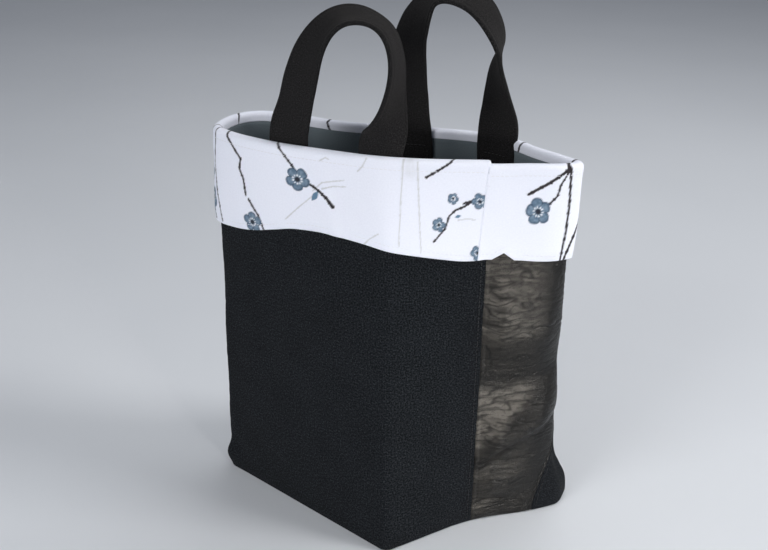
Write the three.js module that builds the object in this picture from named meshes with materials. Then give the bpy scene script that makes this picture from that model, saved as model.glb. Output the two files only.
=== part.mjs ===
// Knitting bag: a square-bottomed fabric tote with a leather side strip, a printed cuff and two handles.
// Millimetres, +Z up. The origin is the middle of the base on the floor, and the front faces -Y.
// The wall is a ruled surface between the base outline and the mouth outline. A place on it is given by
// "around", the share of the way round the bag from its left fold by way of the front, and a height.
// Every layer of the wall is that surface moved inwards by the layer's depth.
import * as THREE from 'three';

// Sizes of the bag
const RIM_HEIGHT = 330;
const RIM_LENGTH = 704;
const CUFF_DEPTH = 79;
const CUFF_LIFT = { height: 13, middle: 0.185, spread: 0.078 };
const FOLD_SAG = { depth: 11, middle: 0.485, spread: 0.045, fullAbove: 55, fadesFrom: 120 };
const SEAM_GAP = 0.35;
const LAYER_GAP = 1.1;
const BASE_GAP = 1.8;

// Layers, as depths inwards from the outer face of the canvas
const CANVAS = [0, 1.4];
const INTERLINING = [CANVAS[1] + LAYER_GAP, CANVAS[1] + LAYER_GAP + 1.2];
const LINING = [INTERLINING[1] + LAYER_GAP, INTERLINING[1] + LAYER_GAP + 1];
const CUFF = [-LAYER_GAP - 1.2, -LAYER_GAP];
const STRAP_END = [LINING[1] + SEAM_GAP, LINING[1] + SEAM_GAP + 4];
const CUFF_TOP = 1.4;
const CUFF_TURN_IN = 10;

// Handles
const STRAP_WIDTH = 36;
const STRAP_THICKNESS = 4;
const STRAP_END_LENGTH = 38;
const STRAP_END_BELOW_RIM = 9;
const HINGE_DEPTH = -1;
const HINGE_ABOVE_RIM = 1.5;
const STRAP_OFFSET = (STRAP_END[0] + STRAP_END[1]) / 2 - HINGE_DEPTH;
const NEAR_FEET = [0.1215, 0.2385];
const FAR_FEET = [0.5944, 0.7055];

// Seams, as shares of the way round at the floor and at the rim
const SIDE_SEAM = { floor: 0.358, rim: 0.367 };
const LEATHER_EDGE = { floor: 0.432, top: 0.49, straightAbove: 110 };
const HALF_TURN = 0.5;

// The base is a square piece that stands sheared, so its outline is the same after half a turn.
const BASE_HALF = [
  { x: -157, y: -29, round: 14 },
  { x: 23, y: -107, round: 14 },
  { x: 84, y: -41, round: 26 },
  { x: 129, y: -17, round: 18 },
  { x: 155, y: 3, round: 12 },
];

// The mouth is a soft lens with a blunt left end and a folded right end.
const MOUTH = [
  [-163, 3], [-144, -12], [-98, -28], [-45, -36], [3, -39], [50, -34], [100, -24], [138, -15],
  [150, -4], [136, 8], [112, 23], [86, 42], [58, 51], [14, 52], [-29, 48], [-66, 48],
  [-108, 56], [-144, 56], [-161, 42],
];

// How finely the surfaces are divided. The wall's direction at a place is taken over NORMAL_REACH each way.
const OUTLINE_STEPS = 1200;
const COLUMNS_AROUND = 72;
const ROW_HEIGHTS = [18, 42, 75, 120, 180, 245, 295];
const NORMAL_REACH = 0.014;

const smoothstep = (from, to, value) => THREE.MathUtils.smoothstep(value, from, to);
const mix = THREE.MathUtils.lerp;
const bell = (value, centre, spread) => Math.exp(-(((value - centre) / spread) ** 2));
const wrapped = (around) => THREE.MathUtils.euclideanModulo(around, 1);

// Outlines, as evenly spaced points that start at the left fold and run by way of the front

function baseOutline() {
  const corners = BASE_HALF.concat(BASE_HALF.map(({ x, y, round }) => ({ x: -x, y: -y, round })));
  const path = new THREE.Path();
  corners.forEach((corner, index) => {
    const here = new THREE.Vector2(corner.x, corner.y);
    const before = corners[(index + corners.length - 1) % corners.length];
    const after = corners[(index + 1) % corners.length];
    const roundingTowards = (other) => {
      const side = new THREE.Vector2(other.x - corner.x, other.y - corner.y);
      return side.setLength(corner.round).add(here);
    };
    const enter = roundingTowards(before);
    const leave = roundingTowards(after);
    if (index === 0) {
      path.moveTo(enter.x, enter.y);
    } else {
      path.lineTo(enter.x, enter.y);
    }
    path.quadraticCurveTo(here.x, here.y, leave.x, leave.y);
  });
  path.closePath();
  const points = path.getSpacedPoints(OUTLINE_STEPS).slice(0, OUTLINE_STEPS);
  const spacing = path.getLength() / OUTLINE_STEPS;
  const halfCorner = Math.round(BASE_HALF[0].round / spacing);
  return points.slice(halfCorner).concat(points.slice(0, halfCorner));
}

function mouthOutline() {
  const corners = MOUTH.map(([x, y]) => new THREE.Vector3(x, y, 0));
  const curve = new THREE.CatmullRomCurve3(corners, true, 'centripetal');
  curve.arcLengthDivisions = OUTLINE_STEPS;
  const points = curve.getSpacedPoints(OUTLINE_STEPS).slice(0, OUTLINE_STEPS);
  return points.map((point) => new THREE.Vector2(point.x, point.y));
}

const base = baseOutline();
const mouth = mouthOutline();

function pointOn(outline, around) {
  const place = wrapped(around) * outline.length;
  const index = Math.floor(place) % outline.length;
  const next = (index + 1) % outline.length;
  return outline[index].clone().lerp(outline[next], place - Math.floor(place));
}

// The wall surface

function ruledPoint(around, height) {
  return pointOn(base, around).lerp(pointOn(mouth, around), height / RIM_HEIGHT);
}

function outwards(around, height) {
  const ahead = ruledPoint(around + NORMAL_REACH, height);
  const along = ahead.sub(ruledPoint(around - NORMAL_REACH, height)).normalize();
  return new THREE.Vector2(along.y, -along.x);
}

// The right fold hangs slack, so the wall falls in between the base and the cuff.
function foldSag(around, height) {
  const { depth, middle, spread, fullAbove, fadesFrom } = FOLD_SAG;
  const rise = smoothstep(0, fullAbove, height) * (1 - smoothstep(fadesFrom, RIM_HEIGHT, height));
  return depth * rise * bell(wrapped(around), middle, spread);
}

function wallPoint(around, height, depth) {
  const within = THREE.MathUtils.clamp(height, 0, RIM_HEIGHT);
  const point = ruledPoint(around, within);
  point.addScaledVector(outwards(around, within), -depth - foldSag(around, within));
  return new THREE.Vector3(point.x, point.y, height);
}

const sideSeam = (height) => mix(SIDE_SEAM.floor, SIDE_SEAM.rim, height / RIM_HEIGHT);
const farSideSeam = (height) => sideSeam(height) + HALF_TURN;
const leatherEdge = (height) =>
  mix(LEATHER_EDGE.floor, LEATHER_EDGE.top, smoothstep(0, LEATHER_EDGE.straightAbove, height));

// The cuff's lower edge is level, but for one place on the front where the cuff is a little shallower.
function cuffLowerEdge(around) {
  const { height, middle, spread } = CUFF_LIFT;
  return RIM_HEIGHT - CUFF_DEPTH + height * bell(wrapped(around), middle, spread);
}

// Solids

function closedGeometry(points, triangles) {
  let volume = 0;
  for (const [a, b, c] of triangles) {
    volume += points[a].dot(new THREE.Vector3().crossVectors(points[b], points[c]));
  }
  const facing = volume > 0 ? triangles : triangles.map(([a, b, c]) => [a, c, b]);
  const geometry = new THREE.BufferGeometry();
  geometry.setFromPoints(points);
  geometry.setIndex(facing.flat());
  return geometry;
}

// Joins a row of equal closed sections into one solid. Each end is capped like a ladder, whose rungs join
// the corners of the section's first half to those of its second half.
function skin(sections) {
  const count = sections[0].length;
  const points = sections.flat();
  const triangles = [];
  for (let section = 0; section + 1 < sections.length; section += 1) {
    for (let side = 0; side < count; side += 1) {
      const a = section * count + side;
      const b = section * count + ((side + 1) % count);
      triangles.push([a, b, b + count], [a, b + count, a + count]);
    }
  }
  const last = (sections.length - 1) * count;
  for (let rung = 0; rung + 1 < count / 2; rung += 1) {
    const [a, b, c, d] = [rung, rung + 1, count - 2 - rung, count - 1 - rung];
    triangles.push([a, c, b], [a, d, c]);
    triangles.push([last + a, last + b, last + c], [last + a, last + c, last + d]);
  }
  return closedGeometry(points, triangles);
}

// Sweeps a section of [depth, height] corners along the wall, from the first of a list of seams to the last.
// Every piece has a column on each seam that it passes, so layers that lie on each other run parallel.
function alongWall(seams, profileAt) {
  const sections = [];
  seams.slice(1).forEach((end, index) => {
    const start = seams[index];
    const width = end(RIM_HEIGHT) - start(RIM_HEIGHT);
    const columns = Math.max(2, Math.round(width * COLUMNS_AROUND));
    for (let column = index === 0 ? 0 : 1; column <= columns; column += 1) {
      const share = column / columns;
      const middle = mix(start(RIM_HEIGHT), end(RIM_HEIGHT), share);
      const place = ([depth, height]) => wallPoint(mix(start(height), end(height), share), height, depth);
      sections.push(profileAt(middle).map(place));
    }
  });
  return skin(sections);
}

// A layer of the wall between two heights
function layerProfile(layer, low, high) {
  const reach = ROW_HEIGHTS[0] / 2;
  const between = ROW_HEIGHTS.filter((height) => height > low + reach && height < high - reach);
  const heights = [low, ...between, high];
  const outer = heights.map((height) => [layer[0], height]);
  const inner = heights.map((height) => [layer[1], height]).reverse();
  return outer.concat(inner);
}

function cuffProfile(around) {
  const foot = cuffLowerEdge(around);
  const top = RIM_HEIGHT;
  const underTop = RIM_HEIGHT - CUFF_TOP;
  const turnIn = RIM_HEIGHT - CUFF_TURN_IN;
  const half = (foot + underTop) / 2;
  return [
    [CUFF[0], foot], [CUFF[0], half], [CUFF[0], top], [LINING[1], top], [LINING[1], turnIn],
    [LINING[0], turnIn], [LINING[0], underTop], [CUFF[1], underTop], [CUFF[1], half], [CUFF[1], foot],
  ];
}

// Pieces that meet at a seam stop half the seam gap short of it.
const after = (seam) => (height) => seam(height) + SEAM_GAP / RIM_LENGTH / 2;
const before = (seam) => (height) => seam(height) - SEAM_GAP / RIM_LENGTH / 2;
const turnBack = (seam) => (height) => seam(height) - 1;

// A flat piece of the base, cut in from the wall by a margin
function basePiece(margin, low, high) {
  const ring = [];
  for (let side = 0; side < COLUMNS_AROUND; side += 1) {
    ring.push(wallPoint(side / COLUMNS_AROUND, 0, margin));
  }
  const section = (height) => ring.map(({ x, y }) => new THREE.Vector3(x, y, height));
  return skin([section(low), section(high)]);
}

// A handle is a flat strap on an arch that stands over the rim. Each point of the arch gives the distance
// along the line between the feet, the height above that line, and the strap's twist in degrees.
const NEAR_ARCH = [
  [0, 5, 0], [7, 26, 16], [14, 52, 18], [25, 79, 34], [41, 97, 52], [62, 104, 79],
  [87, 97, 100], [96, 75, 97], [95, 50, 93], [90, 28, 84], [87, 15, 58], [82.5, 5, 8],
];
const FAR_ARCH = [
  [0, 5, 0], [2, 28, 36], [4, 54, 58], [2, 75, 86], [19, 104, 106], [42, 113, 104],
  [60, 109, 119], [77, 79, 154], [79, 52, 161], [78, 28, 165], [78, 5, 180],
];
const ARCH_STEPS = 36;

function strapSections(arch) {
  const places = arch.map(([run, rise]) => new THREE.Vector3(run, STRAP_OFFSET, rise));
  const turns = arch.map(([, , angle], index) => new THREE.Vector3(index, angle, 0));
  const route = new THREE.CatmullRomCurve3(places);
  const twist = new THREE.CatmullRomCurve3(turns);
  const sections = [];
  for (let step = 0; step <= ARCH_STEPS; step += 1) {
    const share = step / ARCH_STEPS;
    const heading = route.getTangent(share);
    const angle = THREE.MathUtils.degToRad(twist.getPoint(share).y);
    const flat = Math.cos(angle);
    const wide = new THREE.Vector3(heading.z * flat, -Math.sin(angle), -heading.x * flat);
    const thin = new THREE.Vector3().crossVectors(heading, wide);
    sections.push(strapSection(route.getPoint(share), wide, thin));
  }
  return sections;
}

// A flat strap with softly rounded edges
function strapSection(centre, wide, thin) {
  const half = STRAP_WIDTH / 2;
  const thick = STRAP_THICKNESS / 2;
  const shoulder = half - thick;
  const corners = [
    [half, 0], [shoulder, thick], [-shoulder, thick], [-half, 0], [-shoulder, -thick], [shoulder, -thick],
  ];
  return corners.map(([across, off]) => {
    return centre.clone().addScaledVector(wide, across).addScaledVector(thin, off);
  });
}

// The group of a handle has its X axis on the line that the handle folds about, which runs along the top of
// the wall from one foot to the other with the outside of the bag on its -Y side.
function handleGroup(feet) {
  const [first, second] = feet.map((around) => wallPoint(around, RIM_HEIGHT, HINGE_DEPTH));
  const group = new THREE.Group();
  group.position.copy(first).setZ(RIM_HEIGHT + HINGE_ABOVE_RIM);
  group.rotation.z = Math.atan2(second.y - first.y, second.x - first.x);
  return group;
}

// The end of a strap, sewn flat to the inside of the wall below the rim
function strapEnd(around) {
  const halfWidth = STRAP_WIDTH / 2 / RIM_LENGTH;
  const high = RIM_HEIGHT - STRAP_END_BELOW_RIM;
  const low = high - STRAP_END_LENGTH;
  const start = () => around - halfWidth;
  const end = () => around + halfWidth;
  return alongWall([start, end], () => [
    [STRAP_END[0], low], [STRAP_END[0], high], [STRAP_END[1], high], [STRAP_END[1], low],
  ]);
}

// Materials

const material = (color, roughness) => new THREE.MeshStandardMaterial({ color, roughness, metalness: 0 });
const canvasCloth = () => material(0x1c2024, 0.95);
const leather = () => material(0x2a2624, 0.42);
const printedCotton = () => material(0xe6e8f2, 0.85);
const liningCotton = () => material(0x5c6972, 0.85);
const interliningFelt = () => material(0xd8d6d0, 0.98);
const strapCloth = () => material(0x221f1f, 0.95);

// The bag

const bag = new THREE.Group();

function add(name, geometry, look, parent = bag) {
  const mesh = new THREE.Mesh(geometry, look);
  mesh.name = name;
  parent.add(mesh);
}

const canvasTop = RIM_HEIGHT - CUFF_TOP - SEAM_GAP;
const liningTop = RIM_HEIGHT - CUFF_TURN_IN - SEAM_GAP;
const outerWall = () => layerProfile(CANVAS, 0, canvasTop);
const middleWall = () => layerProfile(INTERLINING, INTERLINING[0], canvasTop);
const innerWall = () => layerProfile(LINING, LINING[0], liningTop);
const front = [after(turnBack(farSideSeam)), before(sideSeam)];
const leatherStrip = [after(sideSeam), before(leatherEdge)];
const backCanvas = [after(leatherEdge), before(farSideSeam)];
const back = [after(sideSeam), leatherEdge, before(farSideSeam)];

add('front_canvas_panel', alongWall(front, outerWall), canvasCloth());
add('leather_side_panel', alongWall(leatherStrip, outerWall), leather());
add('back_canvas_panel', alongWall(backCanvas, outerWall), canvasCloth());
add('base_panel', basePiece(CANVAS[1] + BASE_GAP, 0, CANVAS[1]), canvasCloth());

add('front_interlining', alongWall(front, middleWall), interliningFelt());
add('back_interlining', alongWall(back, middleWall), interliningFelt());
add('base_interlining', basePiece(INTERLINING[1] + BASE_GAP, ...INTERLINING), interliningFelt());

add('front_lining', alongWall(front, innerWall), liningCotton());
add('back_lining', alongWall(back, innerWall), liningCotton());
add('base_lining', basePiece(LINING[1] + BASE_GAP, ...LINING), liningCotton());

add('front_cuff', alongWall(front, cuffProfile), printedCotton());
add('back_cuff', alongWall(back, cuffProfile), printedCotton());

const nearHandle = handleGroup(NEAR_FEET);
add('near_handle_strap', skin(strapSections(NEAR_ARCH)), strapCloth(), nearHandle);
add('near_handle_left_end', strapEnd(NEAR_FEET[0]), strapCloth());
add('near_handle_right_end', strapEnd(NEAR_FEET[1]), strapCloth());

const farHandle = handleGroup(FAR_FEET);
add('far_handle_strap', skin(strapSections(FAR_ARCH)), strapCloth(), farHandle);
add('far_handle_right_end', strapEnd(FAR_FEET[0]), strapCloth());
add('far_handle_left_end', strapEnd(FAR_FEET[1]), strapCloth());

bag.add(nearHandle, farHandle);

export default bag;
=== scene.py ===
# Knitting bag, as it looks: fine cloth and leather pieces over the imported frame.
# Design lengths are millimetres, as in the CAD, and turn into metres when a mesh is made. The wall is a
# ruled surface between the base outline and the mouth outline. A place on it is "around", the share of the
# way round the bag from its left fold by way of the front, and a height. "Depth" is measured inwards from
# the canvas face.
import math

import bpy
import numpy as np
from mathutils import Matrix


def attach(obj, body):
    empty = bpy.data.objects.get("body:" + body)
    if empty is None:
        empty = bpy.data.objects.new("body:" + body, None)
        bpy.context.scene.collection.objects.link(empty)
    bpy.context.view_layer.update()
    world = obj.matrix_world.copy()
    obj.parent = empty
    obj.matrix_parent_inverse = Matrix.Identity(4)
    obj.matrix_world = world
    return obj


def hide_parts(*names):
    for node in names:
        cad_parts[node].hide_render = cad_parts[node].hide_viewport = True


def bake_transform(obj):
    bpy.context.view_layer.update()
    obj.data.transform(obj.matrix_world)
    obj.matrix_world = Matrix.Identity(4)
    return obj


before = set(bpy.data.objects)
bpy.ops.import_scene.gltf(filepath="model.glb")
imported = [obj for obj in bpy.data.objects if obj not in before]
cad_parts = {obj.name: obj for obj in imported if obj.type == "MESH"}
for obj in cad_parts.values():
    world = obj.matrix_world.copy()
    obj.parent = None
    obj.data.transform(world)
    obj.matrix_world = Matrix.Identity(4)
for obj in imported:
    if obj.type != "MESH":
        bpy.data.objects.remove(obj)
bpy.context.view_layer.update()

scene = bpy.context.scene

MM = 0.001
RIM_HEIGHT = 330.0
RIM_LENGTH = 704.0
# Corners of the front half of the base, each with its rounding. The back half is the same, turned half round
BASE_HALF = [(-157, -29, 6), (23, -107, 7), (84, -41, 26), (129, -17, 18), (155, 3, 8)]
MOUTH = [
    (-163, 3), (-144, -12), (-98, -28), (-45, -36), (3, -39), (50, -34), (100, -24), (138, -15),
    (150, -4), (136, 8), (112, 23), (86, 42), (58, 51), (14, 52), (-29, 48), (-66, 48), (-108, 56),
    (-144, 56), (-161, 42),
]
OUTLINE_STEPS = 1200
SEAM_GAP = 0.1
FAR_SEAM = 0.8625
RIGHT_FOLD = 0.485


# ---------------------------------------------------------------- numbers

def mix(a, b, share):
    return a + (b - a) * share


def smoothstep(start, end, value):
    share = np.clip((value - start) / (end - start), 0, 1)
    return share * share * (3 - 2 * share)


def bell(value, middle, spread):
    return np.exp(-(((value - middle) / spread) ** 2))


def wrapped_bell(around, middle, spread):
    """A bell on the way round the bag, where 0 and 1 are the same place."""
    away = np.mod(around - middle + 0.5, 1) - 0.5
    return np.exp(-((away / spread) ** 2))


def noise(x, y, seed):
    """Smooth random hills between -1 and 1, one to each unit square."""
    table = np.random.default_rng(seed).uniform(-1, 1, (64, 64))
    x, y = np.broadcast_arrays(np.asarray(x, float), np.asarray(y, float))
    column, row = np.floor(x).astype(int), np.floor(y).astype(int)
    right, up = x - column, y - row
    right = right * right * (3 - 2 * right)
    up = up * up * (3 - 2 * up)
    low = mix(table[column % 64, row % 64], table[(column + 1) % 64, row % 64], right)
    high = mix(table[column % 64, (row + 1) % 64], table[(column + 1) % 64, (row + 1) % 64], right)
    return mix(low, high, up)


def distances_along(points):
    """The distance from the first point of a line to each of its points."""
    return np.r_[0, np.cumsum(np.linalg.norm(np.diff(points, axis=0), axis=1))]


def unit(vectors):
    return vectors / np.maximum(np.linalg.norm(vectors, axis=-1, keepdims=True), 1e-9)


# ---------------------------------------------------------------- the wall surface

def evenly_spaced(points, count):
    closed = np.vstack([points, points[:1]])
    travelled = distances_along(closed)
    places = np.linspace(0, travelled[-1], count, endpoint=False)
    return np.column_stack([np.interp(places, travelled, closed[:, axis]) for axis in (0, 1)]), travelled[-1]


def base_outline():
    corners = BASE_HALF + [(-x, -y, rounding) for x, y, rounding in BASE_HALF]
    points = []
    for index, (x, y, rounding) in enumerate(corners):
        here = np.array([x, y], float)
        before = np.array(corners[index - 1][:2], float)
        after = np.array(corners[(index + 1) % len(corners)][:2], float)
        enter = here + unit(before - here) * rounding
        leave = here + unit(after - here) * rounding
        for share in np.linspace(0, 1, 13):
            points.append(mix(mix(enter, here, share), mix(here, leave, share), share))
    outline, length = evenly_spaced(np.array(points), OUTLINE_STEPS)
    half_corner = round(BASE_HALF[0][2] / length * OUTLINE_STEPS)
    return np.roll(outline, -half_corner, axis=0)


def smooth_curve(points, closed, shares):
    """A centripetal Catmull-Rom curve through the points, at the given shares of the way along it."""
    points = np.asarray(points, float)
    spans = len(points) if closed else len(points) - 1
    place = np.clip(np.asarray(shares, float), 0, 1) * spans
    span = np.minimum(np.floor(place).astype(int), spans - 1)
    share = (place - span)[:, None]
    if closed:
        p0, p1, p2, p3 = (points[(span + step) % len(points)] for step in (-1, 0, 1, 2))
    else:
        long = np.vstack([2 * points[0] - points[1], points, 2 * points[-1] - points[-2]])
        p0, p1, p2, p3 = (long[span + step] for step in (0, 1, 2, 3))
    d0, d1, d2 = (
        np.maximum(np.linalg.norm(b - a, axis=1, keepdims=True) ** 0.5, 1e-4)
        for a, b in ((p0, p1), (p1, p2), (p2, p3))
    )
    leaving = ((p1 - p0) / d0 - (p2 - p0) / (d0 + d1) + (p2 - p1) / d1) * d1
    arriving = ((p2 - p1) / d1 - (p3 - p1) / (d1 + d2) + (p3 - p2) / d2) * d1
    curve = p1 + leaving * share
    curve = curve + (-3 * p1 + 3 * p2 - 2 * leaving - arriving) * share**2
    return curve + (2 * p1 - 2 * p2 + leaving + arriving) * share**3


base = base_outline()
mouth, _ = evenly_spaced(smooth_curve(MOUTH, True, np.linspace(0, 1, 1900, endpoint=False)), OUTLINE_STEPS)


def point_on(outline, around):
    place = np.mod(around, 1) * OUTLINE_STEPS
    index = np.floor(place).astype(int) % OUTLINE_STEPS
    share = (place - np.floor(place))[..., None]
    return mix(outline[index], outline[(index + 1) % OUTLINE_STEPS], share)


def ruled(around, height):
    return mix(point_on(base, around), point_on(mouth, around), (height / RIM_HEIGHT)[..., None])


def outwards(around, height):
    along = unit(ruled(around + 0.014, height) - ruled(around - 0.014, height))
    return np.stack([along[..., 1], -along[..., 0]], axis=-1)


def slack(around, height):
    """How far the whole wall hangs inwards of the ruled surface: the right fold sags, and the corners of the
    base stand out as soft ears."""
    fold = 11.5 * smoothstep(0, 55, height) * (1 - smoothstep(190, RIM_HEIGHT, height))
    fold = fold * wrapped_bell(around, RIGHT_FOLD, 0.045)
    away_from_seams = smoothstep(0, 60, height) * (1 - smoothstep(250, RIM_HEIGHT, height))
    away_from_seams = away_from_seams * (1 - wrapped_bell(around, FAR_SEAM, 0.035))
    hang = 1.3 * noise(around * 11, height / 95, 3) + 0.5 * noise(around * 26, height / 48, 4)
    ears = 3.0 * wrapped_bell(around, 0.5, 0.02) * bell(height, 20, 15)
    ears = ears + 5.0 * wrapped_bell(around, 0.0, 0.015) * bell(height, 15, 9)
    return fold + hang * away_from_seams - ears


def wall(around, height, depth):
    around, height, depth = np.broadcast_arrays(*(np.asarray(v, float) for v in (around, height, depth)))
    within = np.clip(height, 0, RIM_HEIGHT)
    flat = ruled(around, within) + outwards(around, within) * (-depth - slack(around, within))[..., None]
    return np.dstack([flat, height]) if flat.ndim == 3 else np.column_stack([flat, height])


def side_seam(height):
    return mix(0.358, 0.367, height / RIM_HEIGHT)


def far_side_seam(height):
    return side_seam(height) + 0.5


def from_side_seam(around, height):
    return (around - side_seam(height)) * RIM_LENGTH


def leather_edge(height):
    return mix(0.432, 0.49, smoothstep(0, 110, height))


# ---------------------------------------------------------------- meshes

def finished(name, points, faces, look, uv=None):
    """A smooth mesh object from points in millimetres."""
    mesh = bpy.data.meshes.new(name)
    faces = faces if isinstance(faces, list) else faces.tolist()
    mesh.from_pydata((np.asarray(points) * MM).tolist(), [], faces)
    mesh.validate()
    mesh.polygons.foreach_set("use_smooth", np.ones(len(mesh.polygons), bool))
    if uv is not None:
        layer = mesh.uv_layers.new(name="cloth")
        corners = np.empty(len(mesh.loops), np.int32)
        mesh.loops.foreach_get("vertex_index", corners)
        layer.data.foreach_set("uv", np.asarray(uv, np.float32)[corners].ravel())
    mesh.materials.append(look)
    mesh.update()
    made = bpy.data.objects.new(name, mesh)
    scene.collection.objects.link(made)
    return made


def border_of(across, up):
    """The outline of a grid of points, once round."""
    index = np.arange(across * up).reshape(across, up)
    return np.r_[index[:, 0], index[-1, 1:], index[-2::-1, -1], index[0, -2:0:-1]]


def colour_points(made, name, outer, inner):
    """Stores a colour at each point of a cloth, from the colours of its outer and its inner face."""
    across, up, _ = outer.shape
    outer, inner = outer.reshape(-1, 3), inner.reshape(-1, 3)
    every = np.vstack([outer, inner, outer[border_of(across, up)]])
    every = np.column_stack([every, np.ones(len(every))]).astype(np.float32)
    attribute = made.data.color_attributes.new(name, "FLOAT_COLOR", "POINT")
    attribute.data.foreach_set("color", every.ravel())


def cloth(name, middle, thickness, look, cut, relief=0.0):
    """A closed sheet with soft edges. middle is a grid of points on its middle surface, and cut the same
    grid's places on the flat cloth, in millimetres. relief raises or lowers its outer face only."""
    across, up, _ = middle.shape
    along_u, along_v = np.gradient(middle, axis=0), np.gradient(middle, axis=1)
    normal = unit(np.cross(along_u, along_v))
    outer = middle + normal * np.broadcast_to(np.asarray(thickness / 2 + relief), (across, up))[..., None]
    inner = middle - normal * thickness / 2
    index = np.arange(across * up).reshape(across, up)
    border = border_of(across, up)
    beyond = np.zeros((across, up, 3))
    beyond[:, 0] -= unit(along_v[:, 0])
    beyond[:, -1] += unit(along_v[:, -1])
    beyond[0] -= unit(along_u[0])
    beyond[-1] += unit(along_u[-1])
    edge = middle.reshape(-1, 3)[border] + unit(beyond.reshape(-1, 3)[border]) * thickness * 0.4
    points = np.vstack([outer.reshape(-1, 3), inner.reshape(-1, 3), edge])
    corners = [index[:-1, :-1].ravel(), index[1:, :-1].ravel(), index[1:, 1:].ravel(), index[:-1, 1:].ravel()]
    outer_faces = np.column_stack(corners)
    inner_faces = outer_faces[:, ::-1] + across * up
    here = np.arange(len(border))
    there = np.roll(here, -1)
    rim = 2 * across * up
    outer_edge = np.column_stack([border, rim + here, rim + there, border[there]])
    inner_border = border + across * up
    inner_edge = np.column_stack([rim + here, inner_border, inner_border[there], rim + there])
    faces = np.vstack([outer_faces, inner_faces, outer_edge, inner_edge])
    flat = cut.reshape(-1, 2) / 10
    return finished(name, points, faces, look, np.vstack([flat, flat, flat[border]]))


def rows_up(low, high, spacing):
    return np.linspace(low, high, max(2, round((high - low) / spacing) + 1))


def under_curl(depth, radius=2.0):
    """The foot of a wall layer, which turns in under the base: its depths and heights."""
    angle = np.linspace(0, math.pi / 2, 6)[:-1]
    return depth + radius * (1 - np.sin(angle)), depth + radius * (1 - np.cos(angle))


def wall_grid(start, end, heights, depths, spacing):
    """A grid on the wall between two seams, with one row for each height and depth."""
    width = (end(RIM_HEIGHT) - start(RIM_HEIGHT)) * RIM_LENGTH
    share = np.linspace(0, 1, max(3, round(width / spacing) + 1))[:, None]
    gap = SEAM_GAP / RIM_LENGTH / 2
    around = mix(start(heights)[None] + gap, end(heights)[None] - gap, share)
    height = np.broadcast_to(heights, around.shape)
    travelled = np.r_[0, np.cumsum(np.hypot(np.diff(heights), np.diff(depths)))]
    cut = np.dstack([around * RIM_LENGTH, np.broadcast_to(travelled, around.shape)])
    return around, height, np.broadcast_to(depths, around.shape), cut


# ---------------------------------------------------------------- materials

class Look:
    """A material's node tree, with short names for the nodes that cloth and leather need."""

    def __init__(self, name, roughness, sheen=0.0, specular=0.5):
        self.material = bpy.data.materials.new(name)
        self.material.use_nodes = True
        self.tree = self.material.node_tree
        self.shader = self.tree.nodes["Principled BSDF"]
        self.shader.inputs["Roughness"].default_value = roughness
        self.shader.inputs["Sheen Weight"].default_value = sheen
        self.shader.inputs["Specular IOR Level"].default_value = specular
        self.cut = self.tree.nodes.new("ShaderNodeUVMap")
        self.cut.uv_map = "cloth"

    def node(self, kind, **values):
        made = self.tree.nodes.new("ShaderNode" + kind)
        for name, value in values.items():
            setattr(made, name, value)
        return made

    def link(self, source, target):
        self.tree.links.new(source, target)

    def scaled(self, x, y, turn=0.0):
        mapping = self.node("Mapping")
        mapping.inputs["Scale"].default_value = (x, y, 1)
        mapping.inputs["Rotation"].default_value = (0, 0, turn)
        self.link(self.cut.outputs["UV"], mapping.inputs["Vector"])
        return mapping.outputs["Vector"]

    def speckle(self, scale, detail=2.0, stretch=(1, 1), roughness=0.5):
        made = self.node("TexNoise")
        made.inputs["Scale"].default_value = scale
        made.inputs["Detail"].default_value = detail
        made.inputs["Roughness"].default_value = roughness
        self.link(self.scaled(*stretch), made.inputs["Vector"])
        return made.outputs["Fac"]

    def threads(self, pitch, direction, turn=0.0, distortion=0.6):
        """Parallel threads, pitch centimetres apart."""
        made = self.node("TexWave", wave_type="BANDS", bands_direction=direction)
        made.inputs["Scale"].default_value = math.pi / 10 / pitch
        made.inputs["Distortion"].default_value = distortion
        made.inputs["Detail"].default_value = 1.0
        made.inputs["Detail Scale"].default_value = 3.0
        self.link(self.scaled(1, 1, turn), made.inputs["Vector"])
        return made.outputs["Fac"]

    def math(self, operation, first, second):
        made = self.node("Math", operation=operation)
        for socket, value in zip(made.inputs, (first, second)):
            if isinstance(value, (int, float)):
                socket.default_value = value
            else:
                self.link(value, socket)
        return made.outputs["Value"]

    def ramp(self, factor, stops):
        made = self.node("ValToRGB")
        elements = made.color_ramp.elements
        while len(elements) < len(stops):
            elements.new(0.5)
        for element, (position, colour) in zip(elements, stops):
            element.position = position
            element.color = (*colour, 1)
        self.link(factor, made.inputs["Fac"])
        return made.outputs["Color"]

    def blend(self, kind, factor, first, second):
        made = self.node("Mix", data_type="RGBA", blend_type=kind)
        if isinstance(factor, (int, float)):
            made.inputs["Factor"].default_value = factor
        else:
            self.link(factor, made.inputs["Factor"])
        for name, value in (("A", first), ("B", second)):
            socket = [s for s in made.inputs if s.name == name and s.type == "RGBA"][0]
            if isinstance(value, tuple):
                socket.default_value = (*value, 1)
            else:
                self.link(value, socket)
        return [s for s in made.outputs if s.type == "RGBA"][0]

    def colour(self, source):
        self.link(source, self.shader.inputs["Base Color"])

    def roughness(self, factor, low, high):
        made = self.node("MapRange")
        made.inputs["To Min"].default_value = low
        made.inputs["To Max"].default_value = high
        self.link(factor, made.inputs["Value"])
        self.link(made.outputs["Result"], self.shader.inputs["Roughness"])

    def bump(self, height, strength, distance):
        made = self.node("Bump")
        made.inputs["Strength"].default_value = strength
        made.inputs["Distance"].default_value = distance * MM
        self.link(height, made.inputs["Height"])
        self.link(made.outputs["Normal"], self.shader.inputs["Normal"])


def woven(look, pitch):
    """Over and under threads of a plain weave, from 0 to 1."""
    return look.math("MULTIPLY", look.threads(pitch, "X"), look.threads(pitch, "Y"))


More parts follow.
